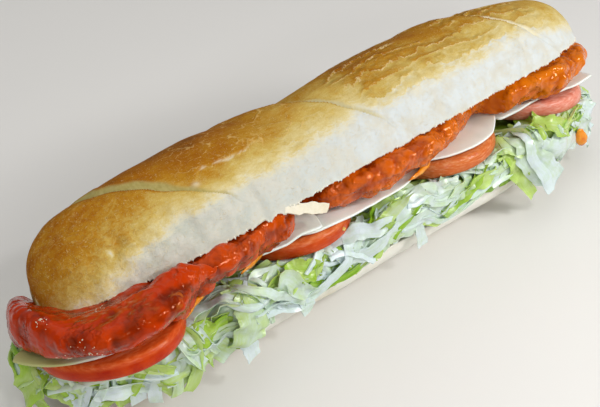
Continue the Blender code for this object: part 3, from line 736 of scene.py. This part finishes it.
def cut_face(tops, count):
    """Points over the cut from the back edge to the front one, rough and a little hollow."""
    share = np.linspace(0, 1, count + 2)[1:-1][None, :, None]
    flat = tops[:, -1:] * (1 - share) + tops[:, :1] * share
    pores = cloud(flat, 5, 31) + 0.6 * np.abs(cloud(flat, 2.2, 32, 2))
    hollow = np.sin(math.pi * share[..., 0]) ** 0.4
    return flat + ((0.5 + 0.6 * pores) * hollow)[..., None] * (0, 0.5, 0.86)


def over_cut(marks, count):
    """Marks of a crust, carried on over its cut face, which is all crumb."""
    return {
        mark: np.pad(values, ((0, 0), (0, count)), constant_values=float(mark == "crumb"))
        for mark, values in marks.items()
    }


def upper_half():
    """The upper half of the roll, with slashes, flakes, flour and a torn cut edge, whose points it gives."""
    along, under = 460, 30
    up = np.concatenate((np.linspace(0, 112, 125)[:-1], np.linspace(112, 180, 46)))
    x, degrees = np.broadcast_arrays(HALF_LENGTH * roll_shares(along), up[None, :])
    base = lid_dome(x, degrees)
    raised, channel, lip_shadow = slash_parts(x, degrees)
    band, flaky = flakes(x, degrees, base)
    flaky = flaky * (1 - channel)
    raised = raised + crust_lumps(x, degrees, base) + 0.6 * (0.5 - (band - np.floor(band))) * flaky
    above, torn = torn_flake(x, degrees, base)
    blister = bell(x, BLISTER[0], 1.6) * bell(degrees, BLISTER[1], 2)
    raised = raised + nose_creases(x, degrees) + 0.5 * above + 0.6 * blister
    tops = lid_dome(x, degrees, raised) - teeth(x, degrees)[..., None] * (0, 0.5, 0.85)
    spot = bell(x + 0.08 * (degrees - 28) ** 2, -125.5, 0.9) * bell(degrees, 28, 3.4)
    # The lip term is a painted shadow: a dark line along each slash's lip, where its ear overhangs the
    # channel.
    brown = brown_level(x, degrees, base) - 0.35 * spot + 0.12 * above + 0.3 * lip_shadow * rise(degrees, 30, 50)
    cracked = rise(x, -90, -82) * rise(x, -16, -30) * rise(degrees, 40, 50)
    cracked = np.maximum(cracked, 0.3 * rise(x, -104, -114)) * (1 - channel)
    crumb = 0.5 * np.maximum(rise(degrees, 2.4, 0), np.maximum(torn, blister))
    marks = {"brown": brown, "band": band, "flaky": flaky, "slash": channel, "cracked": cracked}
    marks = over_cut({**marks, "crumb": crumb}, under)
    rings = np.concatenate((tops, cut_face(tops, under)), axis=1)
    tips = [lid_place(side * HALF_LENGTH, 0, 8) for side in (-1, 1)]
    make_tube("roll_upper", rings, tips, crust_finish(), ["bun_top"], marks)
    return tops[:, 0]


def lower_half():
    """The lower half of the roll, its cut face sunk a little inside a torn rim."""
    along, around, face = 300, 72, 40
    share = roll_shares(along)
    rounding = end_rounding(share)
    x = LOWER_SHIFT + HALF_LENGTH * share
    angle = np.linspace(0, math.pi, around)[None, :]
    width, depth = LOWER_HALF_WIDTH * rounding, LOWER_DEPTH * rounding**0.5
    height = np.maximum(0, CUT_HEIGHT - depth * np.sin(angle))
    base = stack(x, width * np.cos(angle), height)
    lumps = 0.5 * cloud(base, 24, 41, 2) + 0.2 * cloud(base, 5, 42)
    shell = base + (lumps * smooth_step(height / 6))[..., None] * stack(0, np.cos(angle), -np.sin(angle))
    rim = smooth_step(1 - np.sin(angle) * 5) + 0 * x
    line = stack(x, 0, 0)
    shell[..., 2] += rim * (0.6 * cloud(line, 6, 43) + 0.5 * np.abs(cloud(line, 2, 44, 2)))
    across = np.linspace(-1, 1, face + 2)[1:-1][None, :]
    crumb = stack(x, width * across, CUT_HEIGHT)
    crumb[..., 2] += (0.7 * cloud(crumb, 6, 45) - 0.8) * smooth_step((1 - np.abs(across)) * 12)
    end = rise(x, -100, -130)
    brown = 0.62 * rise(height, 9, 1) * (0.35 + 0.65 * end) + 0.3 * end * rise(height, 19, 9)
    marks = over_cut({"brown": brown + 0.12 * cloud(base, 15, 46), "crumb": 0.8 * rim}, face)
    rings = np.concatenate((shell, crumb), axis=1)
    tips = [(LOWER_SHIFT + side * HALF_LENGTH, 0, CUT_HEIGHT - 4) for side in (-1, 1)]
    finish = lower_crust_finish("pale_lower_crust")
    make_tube("roll_lower", rings, tips, finish, ["bun_bottom"], marks)


# --- tomato, cheese and chicken ---


def on_bed(x, down, up):
    """Points on the sloping bed: along the roll, across it towards the back, and up from the bed."""
    start, length, droop = END_DROOP
    y, z = turned(down, up, BED_TILT)
    return BED_CENTRE + stack(x, y, z - droop * rise(x, start, start + length))


def off_bed(points):
    """How far down the slope points lie, and how high above the bed."""
    _, across, height = (points - BED_CENTRE).T
    return turned(across, height, -BED_TILT)


def bed_height(y):
    """Height of the bed at a place across the sandwich."""
    return BED_CENTRE[2] - y * math.tan(BED_TILT)


def slice_profile(flat, around):
    """Rings of a slice from the middle of its top to that of its underside, in columns.

    They are the shares of its radius, which are 1 all round its edge, how far the edge bulges from 0 to 1,
    and the heights from -1 to 1.
    """
    swing = np.linspace(1, -1, around) * math.pi / 2
    none = np.zeros(len(flat))
    share = np.concatenate((flat, np.ones(around), flat[::-1]))
    bulge = np.concatenate((none, np.cos(swing), none))
    level = np.concatenate((none + 1, np.sin(swing), none - 1))
    return share[:, None], bulge[:, None], level[:, None]


def make_slice(food, number, rings, tips, finish, marks):
    """A slice that stands in for the CAD node of its number."""
    make_tube(f"{food}_slice_{number + 1}", rings, tips, finish, [f"{food}_{number + 1}"], marks)


def tomatoes():
    """Round slices with a bulged glossy edge."""
    finish = tomato_finish()
    half = TOMATO_THICKNESS / 2
    turn = whole_turn(120)
    share, bulge, level = slice_profile(np.linspace(0.15, 0.9, 14), 27)
    share = np.minimum(share, 0.9) + 0.1 * bulge**0.7
    skin = rise(share, 0.94, 0.97) * rise(level, 0.7, 0.2) + 0 * turn
    for number, (x, down, radius) in enumerate(TOMATOES):
        reach = radius * share * (1 + 0.02 * np.sin(3 * turn + number))
        flat = stack(x + reach * np.cos(turn), down + reach * np.sin(turn), half * level)
        wave = 0.25 * cloud(flat, 14, 51 + number, 2) + 0.12 * np.abs(cloud(flat, 2.5, 55, 2))
        up = half + GAP + 0.97 * half * level + 0.5 * wave * np.sign(level)
        rings = on_bed(flat[..., 0], flat[..., 1], up)
        tips = [on_bed(x, down, 2 * half + GAP), on_bed(x, down, GAP)]
        make_slice("tomato", number, rings, tips, finish, {"skin": skin * TOMATO_SKINS[number]})


def cheese_lift(number, x):
    """How far slice number is raised at x, where it lies over the next one."""
    if number + 1 >= len(CHEESES):
        return 0.0
    start = CHEESES[number + 1][0] - CHEESE_RADIUS - CHEESE_CLIMB
    return (CHEESE_THICKNESS + GAP) * rise(x, start, start + CHEESE_CLIMB - 1)


def cheese_edge(number, turn):
    """How far a slice reaches at each turn: a round cut short, or nearly a square."""
    if number == SQUARE_SLICE:
        sides = np.abs(stack(np.cos(turn), np.sin(turn)) / SQUARE_HALVES) ** SQUARENESS
        return sides.sum(axis=-1) ** (-1 / SQUARENESS)
    _, _, cut, facing = CHEESES[number]
    return np.minimum(CHEESE_RADIUS, cut / np.maximum(np.cos(turn - math.radians(facing)), 0.01))


def cheeses(sauce_tree):
    """Thin slices, a little wavy, stained where the sauce lies on them."""
    finish = cheese_finish()
    half = CHEESE_SHOWN / 2
    turn = whole_turn(150)
    share, bulge, level = slice_profile(np.linspace(0.08, 1, 18)[:-1], 7)
    for number, (x, down, _, _) in enumerate(CHEESES):
        reach = share * (cheese_edge(number, turn) - half * (1 - bulge))
        along, aside = x + reach * np.cos(turn), down + reach * np.sin(turn)
        wave = 0.3 * cloud(stack(along, aside, 0), 18, 61 + number, 2)
        wave = wave + 0.35 * share**4 * cloud(stack(along, aside, 9), 9, 66 + number, 2)
        middle = CHEESE_BASE + CHEESE_THICKNESS - half + cheese_lift(number, along)
        rings = on_bed(along, aside, middle + half * level + wave - 0.9 * rise(aside, -24, -38))
        top = CHEESE_BASE + CHEESE_THICKNESS + cheese_lift(number, x)
        tips = [on_bed(x, down, top), on_bed(x, down, top - CHEESE_SHOWN)]
        near = np.array([sauce_tree.find(point)[2] for point in rings.reshape(-1, 3)])
        marks = {"stain": fading(near, 1.6).reshape(rings.shape[:2])}
        make_slice("cheese", number, rings, tips, finish, marks)


def to_front(points, line):
    """Points of a strip whose front edge is drawn to a line, and hangs down where sauce runs off it."""
    x = points[:, 0]
    down, up = off_bed(points)
    step = 3
    bins = np.round(x / step).astype(int)
    places = np.unique(bins)
    edges = np.array([down[bins == place].min() for place in places])
    front = np.interp(x, places * float(step), evened(edges, 3, "edge"))
    shift = np.clip(along_line(x, line) - CHICKEN_BULGE - front, -9, 9)
    down = down + shift * smooth_step((front + 20 - down) / 20)
    place, half_width, length = CHICKEN_RUN
    hang = bell(x, place, half_width) * rise(down, -36, -46)
    return on_bed(x, down, up - length * hang * rise(up, 20, 12))


def stretch_ends(points, left, right):
    """Moves a strip's two ends along the roll."""
    x = points[:, 0]
    lowest, highest = x.min(), x.max()
    x += right * rise(x, highest - 16, highest)
    x -= left * rise(x, lowest + 16, lowest)


def softened(points, faces, repeats):
    """Points drawn towards their neighbours, again and again."""
    corners = np.array(faces)
    starts, ends = corners.ravel(), np.roll(corners, 1, axis=1).ravel()
    count = np.bincount(starts, minlength=len(points)) + np.bincount(ends, minlength=len(points))
    for _ in range(repeats):
        total = np.empty_like(points)
        for axis in range(3):
            total[:, axis] = np.bincount(starts, points[ends, axis], len(points))
            total[:, axis] += np.bincount(ends, points[starts, axis], len(points))
        points = (points + total / count[:, None]) / 2
    return points


def shape_first(points, faces, normals):
    """The first strip, swollen beside the roll's end, with a back corner that stands out, and smoothed."""
    x, y = points[:, 0], points[:, 1]
    on_top = smooth_step(normals[:, 2] * 2)
    points[:, 2] += CHICKEN_SWELL * rise(x, -136, -154) * rise(y, -38, -10) * rise(y, 20, 8) * on_top
    points[:, 1] += along_line(x, CHICKEN_CORNER) * rise(y, -10, 10)
    corner = rise(x, -140, -148) * rise(x, -163, -149) * rise(y, -8, 6)
    points[:, 2] += 1.5 * corner * smooth_step(normals[:, 2] * 2 + 0.4)
    sunk = 3 * rise(x, -102, -86) * on_top
    points = softened(points, faces, 40)
    points[:, 2] -= sunk
    return points


def chickens():
    """Lumpy breaded strips in glossy sauce. Gives all their points, for what lies by them."""
    everything = []
    for number, line in enumerate(CHICKEN_FRONTS):
        node = f"chicken_{number + 1}"
        large, small, soft = CHICKEN_LUMPS[number]
        points, faces, normals = fine_copy(node, 0.8, 0, soft)
        points = to_front(points, line)
        stretch_ends(points, *CHICKEN_REACH[number])
        x, y = points[:, 0], points[:, 1]
        lumpy = 1.0
        if number == 0:
            points = shape_first(points, faces, normals)
            lumpy = 0.7 + 0.9 * rise(x, -128, -108)
        lumps = 1.9 * np.abs(cloud(points * (0.8, 1, 1), 13, 71 + number, 2)) - 0.5
        knobs = 1.9 * np.abs(cloud(points, 5.5, 75 + number, 2)) - 0.5
        swell = lumpy * (large * lumps + small * knobs) + 0.14 * cloud(points, 2.2, 79, 2)
        moved = points + normals * (0.4 + swell)[:, None]
        bare = np.maximum(rise(x, 50, 56) * rise(x, 82, 76), bell(x, -116, 9) * bell(y, -48, 4))
        marks = {"hollow": np.clip(0.5 - 0.6 * swell, 0, 1), "bare": bare}
        name = f"chicken_strip_{number + 1}"
        make_piece(name, moved, faces, chicken_finish(number), [node], marks)
        everything.append(moved)
    return everything


def tree_of(points):
    """A search tree of points."""
    tree = kdtree.KDTree(len(points))
    for number, point in enumerate(points):
        tree.insert(point, number)
    tree.balance()
    return tree


# --- small things ---


def lump(path, radii, seed, flat=1.0, **marks):
    """A rounded, uneven lump along a path with a radius at each point, and values for its finish."""
    steps = np.linspace(0, len(path) - 1, 9)
    line = at_steps(steps, path)
    radius = np.interp(steps, range(len(path)), radii) * np.sqrt(1 - (np.linspace(-1, 1, 9) * 0.96) ** 2)
    ahead = unit(np.gradient(line, axis=0))
    aside = unit(np.cross(ahead, (0.3, 0.9, 0.2)))
    out = np.cross(ahead, aside)
    turn = whole_turn(12)[..., None]
    spread = aside[:, None] * np.cos(turn) + flat * out[:, None] * np.sin(turn)
    rings = line[:, None] + spread * radius[:, None, None]
    rings = rings + 0.25 * spread * radius.max() * cloud(rings, radius.max(), seed, 2)[..., None]
    points = np.concatenate((rings.reshape(-1, 3), line[:1], line[-1:]))
    return points, closed_faces(9, 12), {mark: np.full(len(points), value) for mark, value in marks.items()}


def bread_flap():
    """A torn tongue of bread that hangs from the upper half over the gap between two strips."""
    share = np.linspace(0, 1, 24)
    middle = stack(-52 + 20 * share, -30 - 3 * share, 69 - 7 * share**1.3)
    half = 1.2 + smooth_step(share * 3) * (1 - 0.5 * rise(share, 0.85, 1))
    facing = stack(0 * share - 0.1, -0.75, 0.65)
    points, faces, _ = strip(middle, facing, half, 4, (0, 0), thickness=1.1, crumple=0.7)
    marks = {"brown": np.full(len(points), 0.27), "crumb": np.full(len(points), 0.3)}
    finish = lower_crust_finish("torn_bread")
    make_piece("bread_flap", points, faces, finish, marks=marks, sharp=50)


def torn_edge(edge):
    """Shreds of crust and crumb that stand out along the upper half's cut edge."""
    rng = np.random.default_rng(11)
    made = []
    for number in range(EDGE_SHREDS):
        root = edge[rng.integers(14, len(edge) - 14)]
        size = rng.uniform(0.2, 0.5)
        fall = np.array((rng.normal(0, 0.7), rng.uniform(-0.8, 0.2), -1.0)) * rng.uniform(0.1, 0.6)
        path = (root + (0, 0.3, 0.5), root + fall)
        flat = rng.uniform(0.5, 1)
        brown = rng.uniform(0, 0.25) + 0.35 * rise(root[0], -100, -130)
        made.append(lump(path, (size, size * 0.7), number, flat, brown=brown, crumb=0.2))
    join("torn_edge", made, lower_crust_finish("torn_crust"))


def crumbs(chicken_points):
    """Fine pale crumbs on the first strip along the cut edge, which also stand for glints on the sauce as
    painted highlights, and one larger one.
    """
    rng = np.random.default_rng(3)
    shades = {"brown": 0.45, "crumb": 0.35}
    made = []
    x, y, z = chicken_points.T
    near = chicken_points[(np.abs(x + 140 - 0.4 * y) < 22) & (y < -20) & (z > 56)]
    centres = near[rng.integers(len(near), size=CLUSTERS)]
    # The fine crumbs are pale specks in clusters: partly crumbs, and partly painted highlights standing in
    # for glints on the sauce.
    for number in range(CRUMBS):
        wished = centres[number % CLUSTERS] + rng.normal(0, 2, 3)
        place = near[np.linalg.norm(near - wished, axis=1).argmin()]
        size = rng.uniform(0.12, 0.3)
        step = rng.normal(0, size, 3)
        made.append(lump((place - step, place + step), (size, size * 0.8), number, **shades))
    made.append(lump(((-117.2, -35.3, 69), (-115.4, -34.8, 69.6)), (1.1, 0.9), 50, **shades))
    join("bread_crumbs", made, lower_crust_finish("bread_crumbs"))


def sauce_drops():
    """Sauce that ran down the lettuce at the +X end and on to the cheese."""
    lumps = [lump(((133, -33.5, 28), (135.5, -34.5, 23), (137, -34.5, 18)), (2.6, 3.3, 2.8), 60, 0.5)]
    for number, (path, radii) in enumerate(SAUCE_RUNS):
        lumps.append(lump(on_bed(*np.array(path, float).T), radii, 61 + number, 0.5))
    join("sauce_drops", lumps, sauce_finish())


def tomato_seeds():
    """Seeds on the side of the second slice."""
    lumps = []
    for number, (x, down, up) in enumerate(SEEDS):
        path = on_bed(np.array((x - 0.9, x + 0.9)), down, np.array((up, up + 0.4)))
        lumps.append(lump(path, (0.7, 0.9), 80 + number))
    join("tomato_seeds", lumps, seed_finish())


# --- the lettuce ---


def clear_of_tomatoes(x, y):
    """0 under a tomato slice and 1 well clear of every slice."""
    nearest = 1.0
    for centre, down, radius in TOMATOES:
        distance = np.hypot(x - centre, y / math.cos(BED_TILT) - down) - radius
        nearest = np.minimum(nearest, rise(distance, TOMATO_NEST, 2 * TOMATO_NEST))
    return nearest


def tuft_hang(x):
    """How far the lettuce hangs over the front of the lower half at a place along it."""
    hang = 0.0
    for place, half_width, drop in TUFTS:
        hang = np.maximum(hang, drop * bell(x, place, half_width))
    return hang


def ceiling(x, y):
    """How high lettuce may stand at a place: under the tomato slices and the cheese."""
    level = np.full(np.shape(x), bed_height(-60.0))
    down = y / math.cos(BED_TILT)
    for centre, middle, radius in TOMATOES:
        inside = np.hypot(x - centre, down - middle) < radius + 1
        level = np.where(inside, bed_height(y) - 0.2, level)
    for centre, middle, _, _ in CHEESES:
        inside = np.hypot(x - centre, down - middle) < CHEESE_RADIUS
        level = np.where(inside, np.minimum(level, bed_height(y) + CHEESE_BASE - 0.6), level)
    return level


class Heap:
    """The heap's surface, unrolled: distance round its outline, and distance over its shoulder."""

    CORNER = 4  # radius of the shoulder
    INSET = 2.0  # how far inside the solid's outline the shreds lie
    FLAT_FROM = 34  # how far across the top follows the bed
    UNDER_BED, SWELL = 3.2, 4.5  # how far the top lies below the bed, and how much it rises off the slices

    def __init__(self):
        turn = np.linspace(-math.pi, math.pi, 4001)
        x = LOWER_SHIFT + (HEAP_HALF_LENGTH - self.INSET) * np.sin(turn)
        rounding = np.maximum(0, 1 - np.abs(np.sin(turn)) ** 6) ** 0.5
        front = HEAP_FRONT + TUFT_REACH * np.minimum(1, tuft_hang(x) / 8)
        reach = np.where(np.cos(turn) > 0, front, HEAP_BACK) - self.INSET
        y = -reach * rounding * np.sign(np.cos(turn))
        arc = np.concatenate(([0], np.cumsum(np.hypot(np.diff(x), np.diff(y)))))
        self.length = arc[-1]
        ahead, aside = (np.gradient(evened(part, 41, "wrap")) for part in (x, y))
        size = np.hypot(ahead, aside)
        self.arc = arc - arc[2000]
        self.outline = (x, y, aside / size, -ahead / size)

    def at(self, around, over, lift):
        """Points, and normals, at distances round the outline and over the shoulder, lifted off it."""
        around = (around + self.length / 2) % self.length - self.length / 2
        x, y, out_x, out_y = (np.interp(around, self.arc, part) for part in self.outline)
        bend = np.clip(over / self.CORNER, 0, math.pi / 2)
        inward = self.CORNER * (1 - np.sin(bend)) + np.maximum(0, -over)
        sunk = self.CORNER * (1 - np.cos(bend)) + np.maximum(0, over - self.CORNER * math.pi / 2)
        away = lift * np.sin(bend) - inward
        x, y = x + out_x * away, y + out_y * away
        top = bed_height(np.clip(y, -self.FLAT_FROM, self.FLAT_FROM)) - self.UNDER_BED
        top = top + clear_of_tomatoes(x, y) * self.SWELL
        z = np.maximum(top, CUT_HEIGHT + 3) - sunk + lift * np.cos(bend)
        normal = stack(out_x * np.sin(bend), out_y * np.sin(bend), np.cos(bend))
        return stack(x, y, np.minimum(z, ceiling(x, y))), unit(normal)


def strip(middle, normal, half, seed, tints, thickness=0.38, spin=0.0, ruffle=0.0, curl=0.0, crumple=0.3,
          rib=0.0):
    """A closed strip of leaf along a line of points, half as wide each way: points, faces and marks."""
    wide = int(np.clip(half.max() * 1.7, 5, 15))
    half = half[:, None]
    tangent = unit(np.gradient(middle, axis=0))
    aside = unit(np.cross(tangent, normal))
    upward = unit(np.cross(aside, tangent))
    spin = math.radians(spin)
    flat_way = (aside * math.cos(spin) + upward * math.sin(spin))[:, None]
    up_way = (upward * math.cos(spin) - aside * math.sin(spin))[:, None]
    steps = np.linalg.norm(np.diff(middle, axis=0), axis=1)
    run = np.concatenate(([0], np.cumsum(steps)))[:, None]
    share = run / run[-1]
    side = np.linspace(-1, 1, wide)[None, :]
    offset = side * half * (1 + 0.22 * cloud(stack(run, np.sign(side) * 9, seed * 5.3), 4, 92, 3))
    wave = ruffle * np.sin(run / 1.7 + 1.5 * np.sin(seed + run / 5) + 0.8 * side) * np.abs(side) ** 1.5
    cup = 2 * curl * half * (side**2 - 0.3)
    dents = crumple * cloud(stack(run, offset, seed * 7.7), 4.5, 93, 2)
    slant = side * np.sin(seed) * 0.5 * half * np.abs(2 * share - 1) ** 2
    surface = middle[:, None] + flat_way * offset[..., None] + up_way * (wave + cup + dents)[..., None]
    surface = surface + tangent[:, None] * slant[..., None]
    thick = up_way * (thickness / 2 * (1 + 1.5 * rib * bell(side, 0, 0.35)))[..., None]
    rings = np.concatenate((surface + thick, (surface - thick)[:, ::-1]), axis=1)
    points = np.concatenate((rings.reshape(-1, 3), [rings[0].mean(axis=0), rings[-1].mean(axis=0)]))
    points[:, 2] = np.maximum(points[:, 2], 1.0)
    both = np.concatenate((side, side[:, ::-1]), axis=1)
    first, last = tints
    shade = first + (last - first) * share + 0.2 * last * (np.abs(both) - 0.5)
    leaf = stack(run + seed * 53.0, both * half, 0.0).reshape(-1, 3)
    leaf = np.concatenate((leaf, leaf[:1], leaf[-1:]))
    return points, closed_faces(len(middle), 2 * wide), {"tint": np.append(shade, tints), "leaf": leaf}


def shred(heap, around, over, heading, length, width, bend, lift, seed, tints, taper=0.15, **shape):
    """A shred laid on the heap at a heading."""
    share = np.linspace(-0.5, 0.5, max(8, int(length / 2)))
    angle = math.radians(heading) + math.radians(bend) * share
    step = length / (len(share) - 1)
    around = around + (np.cumsum(np.cos(angle)) - np.cos(angle).sum() / 2) * step
    over = over + (np.cumsum(np.sin(angle)) - np.sin(angle).sum() / 2) * step
    hills = 0.7 * np.abs(cloud(stack(share * length, seed * 3.7, 0.0), 14, 91, 1))
    middle, normal = heap.at(around, over, lift + hills)
    half = width / 2 * (1 - taper * rise(np.abs(share), 0.3, 0.5))
    return strip(middle, normal, half, seed, tints, **shape)


def random_shreds(heap):
    """Shreds all over the heap: broad pale scraps below, and long narrow shreds and ribs on them."""
    rng = np.random.default_rng(7)
    made = []
    for number in range(SHREDS):
        side = rng.random()
        if side < 0.7:
            around = rng.uniform(-165, 165)
        elif side < 0.84:
            around = rng.uniform(160, 215) * rng.choice((-1, 1))
        else:
            around = rng.uniform(215, heap.length - 215)
        hang = tuft_hang(LOWER_SHIFT + around) if abs(around) < 165 else 3.0
        heading = rng.normal(0, 26)
        if hang > 4 and rng.random() < 0.6:
            heading = rng.normal(82, 18)
        below = number < SCRAPS
        if below:
            length, width, tint = rng.uniform(16, 30), rng.uniform(7, 12), rng.uniform(0.15, 0.75)
            shape = {"ruffle": rng.uniform(0.3, 0.9), "crumple": 0.6, "thickness": 0.4}
            lift = rng.uniform(0, 0.9)
        elif rng.random() < 0.45:
            length, width, tint = rng.uniform(26, 52), rng.uniform(2.4, 3.8), rng.uniform(0.0, 0.15)
            shape = {"thickness": 0.7, "ruffle": 0.1, "rib": 0.6, "crumple": 0.15}
            lift = rng.uniform(1.2, 3.2)
        else:
            length, width, tint = rng.uniform(22, 42), rng.uniform(3.2, 6), rng.uniform(0.05, 0.6)
            shape = {"ruffle": rng.uniform(0.2, 0.6), "crumple": 0.35}
            lift = rng.uniform(1.0, 3.0)
        reach = abs(math.sin(math.radians(heading))) * length / 2
        over = min(rng.uniform(-6, 12 + hang), 17 + hang - reach)
        shape["spin"] = rng.normal(0, 10 if below else 24)
        shape["curl"] = rng.normal(0, 0.1 if below else 0.25)
        tint = 0.85 if number % 11 == 5 else tint
        tints = np.clip((tint, tint + rng.normal(0.05, 0.12)), 0, 1)
        bend = rng.normal(0, 25 if below else 50)
        made.append(shred(heap, around, over, heading, length, width, bend, lift, number, tints, **shape))
    return made


def leaf(heap, line, widths, tints, ruffle, shape=None):
    """A leaf laid along a line of places round the heap, over its shoulder, and up from it."""
    steps = np.linspace(0, len(line) - 1, 22)
    around, over, lift = at_steps(steps, line).T
    around, over = (evened(part, 5, "reflect", reflect_type="odd") for part in (around, over))
    middle, normal = heap.at(around, over, lift)
    half = np.interp(steps, range(len(line)), widths) / 2
    return strip(middle, normal, half, line[0][0] + line[-1][1], tints, ruffle=ruffle, **(shape or {}))


def lettuce():
    """A core inside the solid's outline, and shreds and leaves of lettuce all over it."""
    points, faces, normals = fine_copy("lettuce", 1.6, 1, 10)
    out = -2.4 + 0.9 * cloud(points, 7, 95) + 0.4 * np.abs(cloud(points, 3, 96))
    moved = points + normals * out[:, None]
    marks = {"tint": 0.6 + 0.3 * cloud(points, 12, 97), "leaf": points}
    # The core is darkened by half with painted shade, for the gaps between the shreds.
    finish = lettuce_finish("lettuce_inside", 0.5)
    make_piece("lettuce_core", moved, faces, finish, ["lettuce"], marks)
    heap = Heap()
    join("lettuce_shreds", random_shreds(heap), lettuce_finish("lettuce_shred"), 55)
    leaves = [leaf(heap, *row) for row in LEAVES]
    join("lettuce_leaves", leaves, lettuce_finish("lettuce_leaf"), 55)


# --- the setting ---


def aim(thing, place, ahead):
    """Stands a camera or a light at a place, turned ahead."""
    thing.location = place * MM
    thing.rotation_mode = "QUATERNION"
    thing.rotation_quaternion = ahead.to_track_quat("-Z", "Y")


def camera():
    """The camera, in front of the -X end and above."""
    azimuth, elevation, distance = math.radians(-41), math.radians(37), 520
    back = Vector((
        math.sin(azimuth) * math.cos(elevation),
        -math.cos(azimuth) * math.cos(elevation),
        math.sin(elevation),
    ))
    target = Vector((-19, -1.5, 40))
    data = bpy.data.cameras.new("camera")
    data.lens = 72.3
    data.sensor_width = 36
    made = add_object("camera", data)
    aim(made, target + back * distance, -back)
    bpy.context.scene.camera = made


def light(name, place, target, size, power, colour):
    """A soft square light."""
    data = bpy.data.lights.new(name, "AREA")
    data.size = size * MM
    data.energy = power
    data.color = colour
    aim(add_object(name, data), Vector(place), Vector(target) - Vector(place))


def setting():
    """Pale floor, soft light and a plain view of the colours."""
    half = 3000 * MM
    data = bpy.data.meshes.new("floor")
    corners = [(-half, -half, 0), (half, -half, 0), (half, half, 0), (-half, half, 0)]
    data.from_pydata(corners, [], [(0, 1, 2, 3)])
    f = Finish("floor_pale")
    grey = f.mix(f.noise(400, 2), (222, 220, 216), (228, 226, 222))
    data.materials.append(f.done(grey, 0.8, f.bumps((f.noise(30, 2), 0.1, 0.1))))
    floor = add_object("floor", data)
    for name, row in LIGHTS.items():
        light(name, *row)
    world = bpy.context.scene.world or bpy.data.worlds.new("world")
    bpy.context.scene.world = world
    world.use_nodes = True
    background = world.node_tree.nodes["Background"]
    background.inputs["Color"].default_value = (0.97, 0.98, 1.0, 1.0)
    background.inputs["Strength"].default_value = 0.26
    bpy.context.scene.view_settings.view_transform = "Standard"


setting()
camera()
torn_edge(upper_half())
lower_half()
tomatoes()
strips = chickens()
cheeses(tree_of(np.concatenate(strips)))
lettuce()
bread_flap()
crumbs(strips[0])
sauce_drops()
tomato_seeds()
